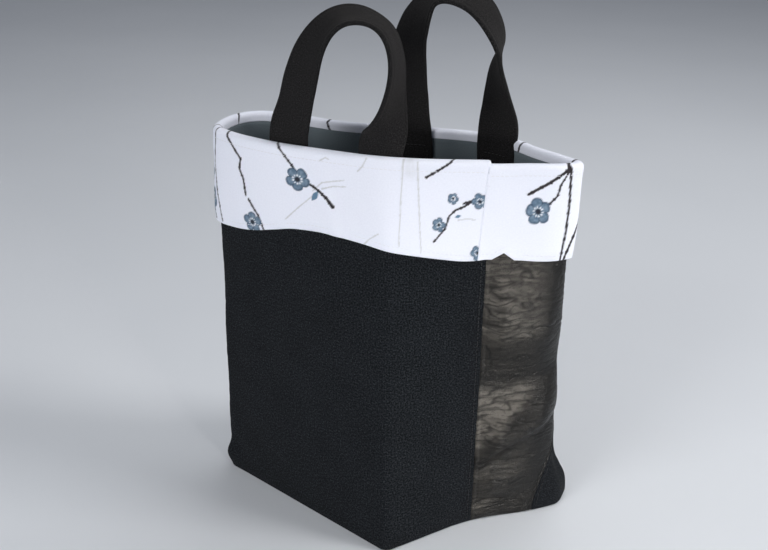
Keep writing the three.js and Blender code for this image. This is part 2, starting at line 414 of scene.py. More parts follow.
def canvas_look():
    look = Look("charcoal_canvas", 0.95, sheen=0.02, specular=0.06)
    weave = woven(look, 0.13)
    specks = look.speckle(7, detail=4, roughness=0.8)
    slubs = look.speckle(4, detail=3, stretch=(1.6, 0.35))
    fade = look.speckle(0.35, detail=3)
    grain = look.ramp(
        specks, [(0.38, (0.004, 0.005, 0.006)), (0.50, (0.012, 0.014, 0.017)), (0.64, (0.046, 0.051, 0.058))]
    )
    tone = look.ramp(fade, [(0.3, (0.82, 0.82, 0.82)), (0.7, (1.0, 1.0, 1.0))])
    crossed = look.ramp(weave, [(0.0, (0.62, 0.62, 0.62)), (0.6, (1.0, 1.0, 1.0))])
    look.colour(look.blend("MULTIPLY", 1.0, look.blend("MULTIPLY", 1.0, grain, tone), crossed))
    height = look.math("ADD", look.math("MULTIPLY", weave, 0.8), look.math("MULTIPLY", slubs, 0.3))
    look.bump(height, 0.5, 0.3)
    return look.material


def leather_look():
    look = Look("black_leather", 0.4, specular=0.22)
    cells = look.node("TexVoronoi", feature="DISTANCE_TO_EDGE")
    cells.inputs["Scale"].default_value = 6.5
    look.link(look.scaled(1, 1.3), cells.inputs["Vector"])
    pebble = look.math("MINIMUM", look.math("MULTIPLY", cells.outputs["Distance"], 3.5), 1.0)
    fine = look.speckle(22, detail=3)
    lines = look.speckle(1.6, detail=5, stretch=(1, 4.5), roughness=0.62)
    tone = look.speckle(0.8, detail=3)
    # The paler brown-grey mixed over the black is painted highlight, as much as the point attribute says.
    highlight_paint = look.node("Attribute", attribute_name="painted_highlight")
    black = look.ramp(tone, [(0.3, (0.003, 0.003, 0.003)), (0.7, (0.006, 0.0056, 0.005))])
    look.colour(look.blend("MIX", highlight_paint.outputs["Fac"], black, (0.115, 0.106, 0.093)))
    look.roughness(fine, 0.25, 0.36)
    height = look.math("ADD", look.math("MULTIPLY", pebble, 0.45), lines)
    look.bump(height, 0.6, 0.5)
    return look.material


def printed_look():
    look = Look("printed_cotton", 0.82, sheen=0.08, specular=0.3)
    printed = look.node("Attribute", attribute_name="print")
    weave = woven(look, 0.042)
    shade = look.ramp(look.speckle(7, detail=3), [(0.3, (0.955, 0.955, 0.96)), (0.7, (1.0, 1.0, 1.0))])
    look.colour(look.blend("MULTIPLY", 1.0, printed.outputs["Color"], shade))
    look.bump(weave, 0.35, 0.16)
    return look.material


def lining_look():
    look = Look("slate_lining", 0.85, sheen=0.08, specular=0.25)
    weave = woven(look, 0.05)
    specks = look.speckle(14, detail=3)
    look.colour(look.ramp(specks, [(0.35, (0.098, 0.123, 0.140)), (0.65, (0.145, 0.176, 0.194))]))
    look.bump(weave, 0.4, 0.2)
    return look.material


def strap_look():
    look = Look("black_wool_strap", 0.95, sheen=0.05, specular=0.1)
    look.shader.inputs["Sheen Tint"].default_value = (0.60, 0.55, 0.52, 1)
    fuzz = look.speckle(9, detail=5, roughness=0.8)
    nap = look.speckle(4, detail=4, stretch=(1, 0.5))
    stops = [(0.38, (0.0045, 0.0044, 0.0048)), (0.52, (0.012, 0.0118, 0.0125)), (0.68, (0.040, 0.039, 0.040))]
    look.colour(look.ramp(fuzz, stops))
    look.bump(look.math("ADD", fuzz, look.math("MULTIPLY", nap, 0.7)), 0.7, 0.5)
    return look.material


def felt_look():
    look = Look("white_interlining", 0.95, sheen=0.2, specular=0.2)
    fibres = look.speckle(9, detail=5, roughness=0.7)
    look.colour(look.ramp(fibres, [(0.3, (0.60, 0.59, 0.56)), (0.7, (0.72, 0.71, 0.68))]))
    look.bump(fibres, 0.5, 0.4)
    return look.material


def thread_look(name, dark, light):
    look = Look(name, 0.7, sheen=0.1, specular=0.35)
    look.colour(look.ramp(look.speckle(30, detail=2), [(0.3, dark), (0.7, light)]))
    look.bump(look.threads(0.03, "DIAGONAL"), 0.5, 0.1)
    return look.material


canvas_cloth = canvas_look()
leather = leather_look()
printed_cotton = printed_look()
lining_cotton = lining_look()
strap_cloth = strap_look()
felt = felt_look()
dark_thread = thread_look("black_thread", (0.006, 0.006, 0.007), (0.018, 0.018, 0.020))
white_thread = thread_look("white_thread", (0.62, 0.63, 0.68), (0.80, 0.81, 0.86))


# ---------------------------------------------------------------- wall pieces

CANVAS_TOP = RIM_HEIGHT - 3
LINING_TOP = RIM_HEIGHT - 8.5
# Groups of creases across the leather: height, spread, strength, and reach from the side seam
LEATHER_CREASES = [
    (243, 9, 0.5, 60), (214, 6, 0.8, 75), (190, 6, 1.2, 90), (150, 12, 0.3, 40), (120, 9, 0.7, 70),
    (98, 9, 1.0, 75), (84, 7, 1.0, 80), (60, 8, 0.7, 60), (45, 9, 1.0, 45), (16, 9, 1.1, 35),
]
# Each layer of the wall: the depth of its outer and its inner face
OUTER_LAYER = (0, 1.4)
FIRM_LAYER = (2.5, 3.7)
LINING_LAYER = (4.8, 5.8)


def front_start(height):
    return far_side_seam(height) - 1


def wall_piece(name, start, end, layer, top, spacing, look, relief=None, low=None, folds=None, painted_highlight=None):
    """A layer of the wall between two seams. layer is its depth at its outer and inner face."""
    middle_depth = sum(layer) / 2
    thickness = layer[1] - layer[0]
    if low is None:
        curl_depths, curl_heights = under_curl(middle_depth)
        straight = rows_up(middle_depth + 2, top, spacing)
        heights = np.r_[curl_heights, straight]
        depths = np.r_[curl_depths, np.full(len(straight), middle_depth)]
    else:
        heights = rows_up(low, top, spacing)
        depths = np.full(len(heights), middle_depth)
    around, height, depth, cut = wall_grid(start, end, heights, depths, spacing)
    raised = relief(around, height) * smoothstep(1, 6, height) if relief else 0.0
    if folds:
        depth = depth - folds(around, height)
    made = cloth(name, wall(around, height, depth), thickness, look, cut, raised)
    # A painted highlight, given as a share at each point, is kept as a point colour on the outer face and
    # none on the inner.
    if painted_highlight:
        highlight_paint = np.repeat(painted_highlight(around, height)[..., None], 3, axis=2)
        colour_points(made, "painted_highlight", highlight_paint, np.zeros_like(highlight_paint))
    return made


def seam_fold(around, height, seam, width=2.6, height_of_fold=0.5):
    """The soft roll of a seam allowance beside a seam, and the dip of the stitches next to it."""
    away = np.abs(around - seam(height)) * RIM_LENGTH
    roll = height_of_fold * bell(away, width * 0.55, width * 0.55)
    return roll - 0.35 * bell(away, width + 1.2, 0.8) - 0.5 * bell(away, 0, 0.5)


def canvas_relief(seed, *seams):
    """The relief of a canvas panel: small bumps, and a roll beside each of its two seams."""
    def relief(around, height):
        fine = 0.10 * noise(around * 240, height / 2.4, seed)
        bumps = fine + 0.16 * noise(around * 90, height / 7, seed + 1)
        return bumps + seam_fold(around, height, seams[0]) + seam_fold(around, height, seams[1])

    return relief


def leather_folds(around, height):
    """The broad shape of the leather: it bellies under the cuff, over a slanting fold and beside its seam."""
    away = from_side_seam(around, height)
    slant = height - 66 - 0.62 * away
    high = 9.0 * smoothstep(256, 197, height) * smoothstep(138, 194, height)
    middle = 9.5 * smoothstep(46, 4, slant) * smoothstep(-17, 2, slant)
    low = 5.5 * smoothstep(60, 36, height) * smoothstep(17, 34, height) * smoothstep(52, 14, away)
    foot = 2.6 * smoothstep(22, 7, height) * smoothstep(34, 8, away)
    beside_fold = smoothstep(84, 50, away)
    return ((high + middle) * beside_fold + low + foot) * smoothstep(-3, 18, away) * smoothstep(0, 8, height)


def wavering(around, height):
    """Height, as the creases see it: they waver across the leather."""
    across = around * RIM_LENGTH
    return height + 2.6 * noise(across / 19, height / 40, 21) + 1.0 * noise(across / 7, height / 14, 22)


def fine_creases(around, height):
    return noise(around * RIM_LENGTH / 17, wavering(around, height) / 4.6, 23)


def leather_relief(around, height):
    across = around * RIM_LENGTH
    away = from_side_seam(around, height)
    waver = wavering(around, height)
    wrinkles = np.zeros_like(around)
    for level, spread, depth, reach in LEATHER_CREASES:
        strength = depth * bell(waver, level, spread) * (1 - smoothstep(0.6 * reach, 1.15 * reach, away))
        lines = noise(across / 30, waver / 3.4, 30 + level)
        wrinkles += strength * (0.8 * np.abs(lines) ** 0.7 - 0.55 * bell(lines, 0, 0.16))
    pebble = 0.10 * noise(across / 1.7, height / 1.5, 26) + 0.08 * noise(across / 3.1, height / 2.6, 27)
    everywhere = -0.3 * bell(fine_creases(around, height), 0, 0.10)
    seams = seam_fold(around, height, side_seam, 2.2, 0.16)
    seams = seams + seam_fold(around, height, leather_edge, 2.2, 0.3)
    hills = 0.3 * noise(across / 22, height / 26, 24)
    inside = smoothstep(0, 6, (leather_edge(height) - around) * RIM_LENGTH)
    return (wrinkles + everywhere + hills) * inside + pebble + seams


def leather_painted_highlight(around, height):
    """Painted highlight on the leather: paler where it bellies out towards the lights, and not beside the
    right fold, which faces away from them.
    """
    across = around * RIM_LENGTH
    away = from_side_seam(around, height)
    waver = height + 3.5 * noise(across / 16, height / 30, 61) + 1.2 * noise(across / 6, height / 9, 62)
    beside_fold = smoothstep(58, 34, away + 4 * noise(across / 30, height / 26, 63))
    high = (0.42 + 0.12 * noise(across / 14, height / 20, 64)) * smoothstep(172, 190, waver)
    belly = 0.95 * smoothstep(-6, 20, waver - 70 - 1.15 * away) * smoothstep(142, 120, waver)
    foot = 0.6 * bell(waver, 18, 7) * smoothstep(22, 6, away)
    foot = foot + 0.16 * bell(waver, 48, 9) * smoothstep(50, 20, away)
    streaks = 1 + 0.55 * noise(across / 17, waver / 1.9, 65) + 0.3 * noise(across / 4, height / 2.6, 66)
    # Painted shade along the fine creases, and along finer ones: the painted highlight gives way to black
    # there.
    crease_shade = 1 - 0.75 * bell(fine_creases(around, height), 0, 0.13)
    finer_crease_shade = 1 - 0.55 * bell(noise(across / 8, wavering(around, height) / 1.9, 67), 0, 0.15)
    return np.clip(1.15 * ((high + belly + 0.10) * beside_fold + foot) * streaks * crease_shade * finer_crease_shade, 0, 1.3)


def lining_relief(around, height):
    return 0.15 * noise(around * 80, height / 9, 41)


front_canvas = wall_piece(
    "front_canvas", front_start, side_seam, OUTER_LAYER, CANVAS_TOP, 1.8, canvas_cloth,
    canvas_relief(11, side_seam, front_start),
)
back_canvas = wall_piece(
    "back_canvas", leather_edge, far_side_seam, OUTER_LAYER, CANVAS_TOP, 1.8, canvas_cloth,
    canvas_relief(13, leather_edge, far_side_seam),
)
# The leather strip carries painted highlight in its colour.
leather_strip = wall_piece(
    "leather_strip", side_seam, leather_edge, OUTER_LAYER, CANVAS_TOP, 0.8, leather, leather_relief,
    folds=leather_folds, painted_highlight=leather_painted_highlight,
)
front_interlining, back_interlining = (
    wall_piece(name, start, end, FIRM_LAYER, CANVAS_TOP, 6, felt, low=FIRM_LAYER[0])
    for name, start, end in (
        ("front_firm_layer", front_start, side_seam), ("back_firm_layer", side_seam, far_side_seam),
    )
)
front_lining, back_lining = (
    wall_piece(
        name, start, end, LINING_LAYER, LINING_TOP, 3, lining_cotton, lining_relief, low=LINING_LAYER[0],
    )
    for name, start, end in (
        ("front_slate_lining", front_start, side_seam), ("back_slate_lining", side_seam, far_side_seam),
    )
)


def base_sheet(name, margin, low, thickness, spacing, look, lift):
    """A flat piece of the base, spanned between the front half and the back half of the outline."""
    around = np.linspace(0.006, 0.494, max(3, round(380 / spacing)))[:, None]
    share = np.linspace(0, 1, max(3, round(150 / spacing)))[None]
    near = wall(around, 0 * around, margin + 0 * around)
    far = wall(1 - around, 0 * around, margin + 0 * around)
    middle = mix(near, far, share[..., None])
    domed = lift * np.sin(math.pi * share) * np.sin(math.pi * (around - 0.006) / 0.488)
    ripple = 0.25 * noise(middle[..., 0] / 24, middle[..., 1] / 24, 61)
    middle[..., 2] = low + thickness / 2 + domed + ripple * np.minimum(domed, 1)
    return cloth(name, middle, thickness, look, middle[..., :2] + 200)


base_canvas = base_sheet("base_canvas", 5.2, 0.0, 1.4, 4, canvas_cloth, 0.9)
base_interlining = base_sheet("base_firm_layer", 5.6, 2.6, 1.2, 8, felt, 0.9)
base_lining = base_sheet("base_slate_lining", 7.6, 4.9, 1.0, 4, lining_cotton, 0.9)


# ---------------------------------------------------------------- the printed cuffs

CUFF_THICKNESS = 1.2
RIM_RADIUS = 3.5
RIM_MIDDLE = 1.8
# Places up the cuff, as heights that run on over the rim and down its inner turn
TURN_STARTS = 326.0
TURN_ENDS = TURN_STARTS + math.pi * RIM_RADIUS
CUFF_ENDS = TURN_ENDS + 4.0
# Where the two cuffs meet at the right, as a distance along the rim
CUFFS_MEET = 256.5
PRINT_WHITE = (0.80, 0.83, 0.93)
BRANCH_BROWN = (0.018, 0.014, 0.017)
TWIG_GREY = (0.60, 0.62, 0.66)
PETAL_LINES = (0.035, 0.06, 0.10)
# The front cuff's lower edge: distances along the rim and heights
CUFF_FOOT = [
    (-20, 248), (30, 248), (57, 252), (80, 258), (97, 262), (126, 264.5), (162, 261.5), (194, 256.5),
    (227, 252), (247, 250), (262, 251.5), (289, 250.5), (307, 249), (340, 248),
]


def cuff_seam(place):
    return mix(0.354, 0.3637, (place - 250) / 80)


def far_cuff_seam(place):
    return cuff_seam(place) + 0.5


def cuff_start(place):
    return far_cuff_seam(place) - 1


def cuff_foot(along):
    """Height of the cuff's lower edge, at a distance along the rim from the left fold."""
    front = smooth_curve(CUFF_FOOT, False, np.linspace(0, 1, 240))
    front = np.interp(along, front[:, 0], front[:, 1]) + 6.0 * np.maximum(0, 1 - np.abs(along - 276) / 9)
    back = 250 + 1.5 * noise(along / 55, 0.5, 71)
    return mix(front, back, smoothstep(330, 400, along))


def cuff_looseness(along, place):
    """How far the cuff hangs out from the canvas, most at its lower edge."""
    down = 1 - smoothstep(252, 322, place)
    right_fold = 3.4 * wrapped_bell(along / RIM_LENGTH, 0.492, 0.030)
    left_fold = 1.3 * wrapped_bell(along / RIM_LENGTH, 0.0, 0.03)
    waves = 0.7 * noise(along / 30, place / 70, 72) + 0.35 * noise(along / 13, place / 30, 73)
    pucker = 1.6 * bell(along, 249, 6) * bell(place, 250, 14)
    pucker = pucker + 1.3 * bell(along, 269, 9) * bell(place, 254, 9)
    lift = 1.3 * bell(along, 124, 50)
    return down * (0.5 + right_fold + left_fold + lift + waves) + pucker


def cuff_ease(along, place):
    """Shallow soft waves over the whole height of the cuff."""
    inside_edges = smoothstep(250, 262, place) * (1 - smoothstep(316, 326, place))
    fold = 1.2 * bell(along + 0.25 * (place - 290), 127, 6) * smoothstep(318, 300, place)
    waves = 0.45 * noise(along / 24, place / 34, 74) + 0.25 * noise(along / 9, place / 12, 75)
    return inside_edges * (waves + fold)


def along_rim(around):
    """Distance along the rim from the left fold, less than zero for a little way to its left."""
    return np.mod(around * RIM_LENGTH + RIM_LENGTH / 20, RIM_LENGTH) - RIM_LENGTH / 20


def cuff_grid(start, end, spacing):
    width = (end(RIM_HEIGHT) - start(RIM_HEIGHT)) * RIM_LENGTH
    share = np.linspace(0, 1, round(width / spacing) + 1)[:, None]
    middle_along = mix(start(RIM_HEIGHT), end(RIM_HEIGHT), share) * RIM_LENGTH
    foot = cuff_foot(np.mod(middle_along, RIM_LENGTH))
    rows = round((CUFF_ENDS - 250) / spacing) + 1
    place = mix(foot, CUFF_ENDS, np.linspace(0, 1, rows)[None])
    gap = 0.3 / RIM_LENGTH
    seam_place = np.minimum(place, 337)
    around = mix(start(seam_place) + gap, end(seam_place) - gap, share)
    along = along_rim(around)
    angle = np.clip((place - TURN_STARTS) / RIM_RADIUS, 0, math.pi)
    depth = RIM_MIDDLE - RIM_RADIUS * np.cos(angle)
    height = np.where(place < TURN_STARTS, place, TURN_STARTS + RIM_RADIUS * np.sin(angle))
    height = np.where(place > TURN_ENDS, TURN_STARTS - (place - TURN_ENDS), height)
    depth = depth - cuff_looseness(along, place) - cuff_ease(along, place)
    height = height + rim_lift(along) * smoothstep(290, 326, place) * (place < TURN_ENDS + 9)
    return around, height, depth, along, place


def rim_lift(along):
    """The front piece ends a little higher at the side seam than the piece beside it."""
    left = 1.3 * smoothstep(190, 254, along) * (along < CUFFS_MEET)
    right = -1.5 * (1 - smoothstep(257, 300, along)) * (along >= CUFFS_MEET)
    waves = 0.35 * noise(along / 40, 0.5, 76)
    return left + right + waves


def line_distance(x, y, points):
    """Distance from each place to a line of points, and the share of the way along it."""
    best = np.full(x.shape, 1e9)
    share = np.zeros(x.shape)
    for index, ((ax, ay), (bx, by)) in enumerate(zip(points, points[1:])):
        dx, dy = bx - ax, by - ay
        t = np.clip(((x - ax) * dx + (y - ay) * dy) / (dx * dx + dy * dy), 0, 1)
        d = np.hypot(x - ax - t * dx, y - ay - t * dy)
        closer = d < best
        best = np.where(closer, d, best)
        share = np.where(closer, (index + t) / (len(points) - 1), share)
    return best, share


def paint(colours, shape, colour):
    """Lays a colour on, as much as shape says from 0 to 1."""
    colours += (np.array(colour) - colours) * np.clip(shape, 0, 1)[..., None]


def branch(colours, x, y, points, thick, thin, colour=BRANCH_BROWN, seed=1):
    """A hand-drawn branch that tapers, with a few knots."""
    near = np.abs(x - np.mean([p[0] for p in points])) < 120
    distance, share = line_distance(x, y, points)
    knots = 0.45 * bell(np.mod(share * 7 + 0.13 * seed, 1), 0.5, 0.10)
    half = mix(thick, thin, share) / 2 * (1 + knots) + 0.14 * noise(x / 1.7, y / 1.7, 80 + seed)
    paint(colours, near * smoothstep(0.28, -0.28, distance - half), colour)


def blossom(colours, x, y, cx, cy, wide, tall, turn):
    """A five-petalled blossom with a pale ring of stamens round a dark heart."""
    across, up = (x - cx) / wide, (y - cy) / tall
    away = np.hypot(across, up)
    angle = np.arctan2(up, across) + turn
    lobes = np.abs(np.cos(2.5 * angle))
    petal = 0.66 + 0.34 * lobes**0.55 + 0.07 * noise(np.cos(angle) * 2 + cx, np.sin(angle) * 2 + cy, 90)
    edge = 0.45 / wide
    body = smoothstep(edge, -edge, away - petal)
    mottle = 0.5 + 0.5 * noise(x / 1.6, y / 1.6, 91)
    blue = mix(np.array((0.075, 0.135, 0.21)), np.array((0.20, 0.28, 0.37)), mottle[..., None])
    colours += (blue - colours) * body[..., None]
    outline = smoothstep(0.13, 0.0, np.abs(away - petal + 0.08)) * body
    paint(colours, 0.75 * outline, PETAL_LINES)
    creases = smoothstep(0.30, 0.03, lobes) * body * (away > 0.40)
    paint(colours, 0.8 * creases, PETAL_LINES)
    ring = bell(away, 0.33, 0.075) * smoothstep(0.0, 0.5, np.cos(10 * angle) + 0.3)
    paint(colours, 1.2 * ring, (0.80, 0.83, 0.88))
    paint(colours, smoothstep(0.27, 0.15, away), (0.015, 0.018, 0.03))


def leaf(colours, x, y, cx, cy, length, turn):
    """A small pointed leaf."""
    along = (x - cx) * math.cos(turn) + (y - cy) * math.sin(turn)
    off = (y - cy) * math.cos(turn) - (x - cx) * math.sin(turn)
    half = 0.24 * length * (1 - np.minimum(np.abs(2 * along / length), 3) ** 1.6)
    paint(colours, smoothstep(0.4, -0.3, np.abs(off) - half), (0.10, 0.19, 0.29))


FRONT_BRANCHES = [
    ([(20, 352), (26, 327), (34, 318), (41, 311), (39, 302), (43, 295), (45, 281)], 2.3, 2.0),
    ([(48, 278), (53, 272), (58, 266), (64, 252), (68, 240)], 2.1, 1.7),
    ([(74, 345), (80, 330), (89, 320), (94, 315), (99, 308)], 1.6, 2.2),
    ([(103, 304), (112, 301), (120, 297), (126, 293), (131, 287)], 1.8, 3.0),
    ([(232, 336), (226, 328), (218, 323), (208, 317)], 1.4, 1.9),
    ([(252, 303), (244, 299), (238, 295), (231, 292), (226, 287), (223, 277), (214, 266)], 1.8, 1.3),
    ([(237, 297), (245, 300)], 1.5, 1.5),
    ([(321, 345), (316, 326), (303, 316), (287, 306)], 2.6, 2.3),
    ([(317, 325), (311, 314), (309, 305), (302, 297)], 1.3, 1.8),
    ([(318, 328), (319, 300), (318, 275), (315, 247)], 2.0, 1.8),
    ([(336, 352), (334, 325), (333, 300), (331, 282), (323, 262), (318, 247)], 2.2, 2.2),
    ([(8, 352), (10, 330), (5, 300), (9, 275), (13, 250)], 1.3, 1.1),
    ([(-2, 350), (1, 325), (-3, 300), (2, 262), (4, 250)], 1.5, 1.2),
]
BACK_BRANCHES = [
    ([(352, 246), (364, 268), (371, 290), (385, 312), (392, 336), (398, 352)], 2.2, 1.6),
    ([(371, 290), (382, 282), (396, 279)], 1.6, 1.2),
    ([(430, 352), (424, 330), (431, 312), (426, 296), (436, 280)], 1.7, 1.6),
    ([(476, 246), (485, 262), (500, 276), (509, 296), (525, 309), (531, 333), (540, 352)], 2.4, 1.7),
    ([(500, 276), (516, 270), (527, 258)], 1.6, 1.1),
    ([(566, 352), (572, 335), (565, 318), (576, 300), (580, 281), (592, 266)], 2.0, 1.5),
    ([(576, 300), (590, 306), (601, 318)], 1.5, 1.1),
    ([(632, 246), (640, 262), (638, 281), (650, 297), (655, 320), (668, 337), (672, 352)], 2.2, 1.6),
    ([(668, 246), (676, 270), (688, 290), (694, 320), (690, 352)], 1.2, 1.0),
]
PALE_TWIGS = [
    [(86, 269), (99, 281), (112, 292)],
    [(113, 297), (122, 305), (141, 309)],
    [(122, 300), (131, 303), (142, 304)],
    [(120, 322), (125, 325), (128, 324)],
    [(153, 318), (157, 322), (160, 328)],
    [(158, 261), (163, 266), (170, 271)],
    [(190, 330), (188, 300), (186, 262)],
    [(201, 328), (202, 300), (204, 256)],
    [(233, 284), (241, 285), (247, 284)],
    [(440, 330), (447, 300), (455, 262)],
    [(455, 290), (467, 302), (476, 305)],
    [(540, 262), (552, 280), (560, 300)],
    [(610, 330), (612, 300), (618, 262)],
]
# Blossoms: middle, half width, half height and turn
BLOSSOMS = [
    (99, 304, 12.2, 9.8, 0.3), (51, 259, 10.0, 9.0, 0.9), (250, 299, 7.0, 6.4, 0.6),
    (229, 301, 4.6, 4.6, 0.1), (218, 280, 5.4, 6.2, 1.2), (249, 257, 5.5, 6.4, 0.5),
    (295, 292, 10.0, 11.4, 0.75), (2, 268, 5.0, 11.0, 0.4), (-1, 290, 4.5, 8.0, 1.1),
    (397, 279, 10.0, 9.0, 0.2), (437, 278, 8.5, 8.0, 0.9), (528, 257, 9.5, 9.0, 0.5),
    (524, 309, 5.0, 5.4, 0.1), (602, 319, 10.0, 9.0, 1.0), (593, 265, 6.0, 6.4, 0.3),
    (651, 296, 9.0, 10.0, 0.7), (366, 315, 5.5, 5.0, 0.6), (478, 306, 6.0, 6.4, 0.2),
]
# Leaves: middle, length and turn
LEAVES = [
    (115, 293, 10.0, 0.95), (233, 287, 5.0, 0.2), (461, 283, 8.0, 1.2), (584, 292, 7.0, 0.4),
    (642, 268, 8.0, 2.0),
]
# The front cuff's print lies between these distances along the rim, round the left fold
FRONT_PRINT_ENDS = 254
FRONT_PRINT_STARTS = RIM_LENGTH - 103


def printed_colours(along, place, on_front):
    """The colour of the printed cotton at each place: blossoming branches on white."""
    def is_here(cx):
        return (cx < FRONT_PRINT_ENDS or cx > FRONT_PRINT_STARTS) == on_front

    colours = np.ones(along.shape + (3,)) * np.array(PRINT_WHITE)
    trunk = bell(along, 195, 5.5) * smoothstep(312, 320, place)
    paint(colours, 0.35 * trunk * (0.6 + 0.4 * noise(along / 1.4, place / 5, 92)), (0.55, 0.57, 0.58))
    for seed, points in enumerate(PALE_TWIGS):
        if is_here(points[0][0]):
            branch(colours, along, place, points, 1.1, 0.8, TWIG_GREY, seed)
    for seed, (points, thick, thin) in enumerate(FRONT_BRANCHES + BACK_BRANCHES):
        if is_here(points[0][0]):
            branch(colours, along, place, points, thick, thin, BRANCH_BROWN, seed)
    for cx, cy, length, turn in LEAVES:
        if is_here(cx):
            leaf(colours, along, place, cx, cy, length, turn)
    for cx, cy, wide, tall, turn in BLOSSOMS:
        if is_here(cx):
            blossom(colours, along, place, cx, cy, wide, tall, turn)
    return colours


def cuff(name, start, end, spacing):
    around, height, depth, along, place = cuff_grid(start, end, spacing)
    middle = wall(around, height, depth)
    cut = np.dstack([around * RIM_LENGTH, place])
    made = cloth(name, middle, CUFF_THICKNESS, printed_cotton, cut)
    colours = printed_colours(along, place, start is cuff_start)
    colour_points(made, "print", colours, 0.35 * colours + 0.65 * np.array(PRINT_WHITE))
    return made


front_cuff = cuff("front_printed_cuff", cuff_start, cuff_seam, 0.85)
back_cuff = cuff("back_printed_cuff", cuff_seam, far_cuff_seam, 0.85)


# ---------------------------------------------------------------- handles

STRAP_WIDTH = 36.0
STRAP_THICKNESS = 4.0
STRAP_DEPTH = 8.15
HINGE_DEPTH = -1.0
HINGE_HEIGHT = 331.5
STRAP_SEWN = (283.0, 321.0)
SEWN_STEPS = 24
NEAR_FEET = (0.1215, 0.2385)
FAR_FEET = (0.5944, 0.7055)
# Distance along the line between the feet, height above it, and the strap's twist in degrees
NEAR_ARCH = [
    (0, 5, 0), (7, 26, 16), (14, 52, 18), (25, 79, 34), (41, 97, 52), (62, 104, 79),
    (87, 97, 100), (96, 75, 97), (95, 50, 90), (91, 28, 68), (87, 15, 40), (82.5, 5, 8),
]
FAR_ARCH = [
    (0, 5, 0), (2, 28, 36), (4, 54, 58), (2, 75, 86), (19, 104, 106), (42, 113, 104),
    (60, 109, 119), (77, 79, 154), (79, 52, 161), (78, 28, 165), (78, 5, 180),
]


def softened(values, reach, rounds=2):
    """A moving average along a row of points, whose ends stay."""
    for _ in range(rounds):
        padded = np.vstack([values[:1]] * reach + [values] + [values[-1:]] * reach)
        sums = sum(padded[step:step + len(values)] for step in range(2 * reach + 1))
        ends = values[:1].copy(), values[-1:].copy()
        values = sums / (2 * reach + 1)
        values[:1], values[-1:] = ends
    return values


def strap_route(feet, arch):
    """The middle line of a strap from one sewn end to the other, with its wide and thin directions."""
    hinge = [wall(np.array([foot]), np.array([RIM_HEIGHT]), np.array([HINGE_DEPTH]))[0] for foot in feet]
    x_axis = unit(np.array([hinge[1][0] - hinge[0][0], hinge[1][1] - hinge[0][1], 0.0]))
    y_axis = np.array([-x_axis[1], x_axis[0], 0.0])
    origin = np.array([hinge[0][0], hinge[0][1], HINGE_HEIGHT])
    shares = np.linspace(0, 1, 150)
    route = smooth_curve([(run, STRAP_DEPTH - HINGE_DEPTH, rise) for run, rise, _ in arch], False, shares)
    turn = smooth_curve([(index, angle, 0) for index, (_, _, angle) in enumerate(arch)], False, shares)[:, 1]
    heading = unit(np.gradient(route, axis=0))
    flat, edge = np.cos(np.radians(turn)), np.sin(np.radians(turn))
    wide = np.column_stack([heading[:, 2] * flat, -edge, -heading[:, 0] * flat])
    to_world = np.array([x_axis, y_axis, [0, 0, 1]])
    centres, wides = origin + route @ to_world, wide @ to_world
    rises = np.linspace(*STRAP_SEWN, SEWN_STEPS)
    ends = []
    for foot, joins in zip(feet, (0, -1)):
        sewn = wall(np.full(SEWN_STEPS, foot), rises, np.full(SEWN_STEPS, STRAP_DEPTH))
        tangent = unit(point_on(mouth, np.array([foot + 0.02])) - point_on(mouth, np.array([foot - 0.02])))[0]
        tangent = np.array([tangent[0], tangent[1], 0.0])
        tangent = tangent * np.sign(tangent @ wides[joins])
        bridge = np.linspace(0, 1, 9)[1:-1, None]
        across = mix(sewn[-1], centres[joins], bridge)
        turning = np.vstack([np.tile(tangent, (SEWN_STEPS, 1)), mix(tangent, wides[joins], bridge)])
        ends.append((np.vstack([sewn, across]), turning))
    centre = np.vstack([ends[0][0], centres, ends[1][0][::-1]])
    wide = np.vstack([ends[0][1], wides, ends[1][1][::-1]])
    centre, wide = softened(centre, 4), unit(softened(wide, 6))
    heading = unit(np.gradient(centre, axis=0))
    wide = unit(wide - heading * np.sum(wide * heading, axis=1, keepdims=True))
    return centre, wide, np.cross(heading, wide)


def strap_section():
    """Half widths and half thicknesses round a folded band: crowned faces, round edges, two stitched dips."""
    half, thick = STRAP_WIDTH / 2, STRAP_THICKNESS / 2
    flat = np.linspace(half - 2, -(half - 2), 23)
    face = thick * (0.94 + 0.12 * (1 - (flat / half) ** 2)) - 0.45 * bell(np.abs(flat), half - 4.2, 0.9)
    turn = np.linspace(0, math.pi, 7)[1:-1] + math.pi / 2
    left = [(-(half - 2) + 2 * math.cos(a), face[-1] * math.sin(a)) for a in turn]
    top = list(zip(flat, face))
    upper = top + left
    return np.array(upper + [(-x, -y) for x, y in upper])


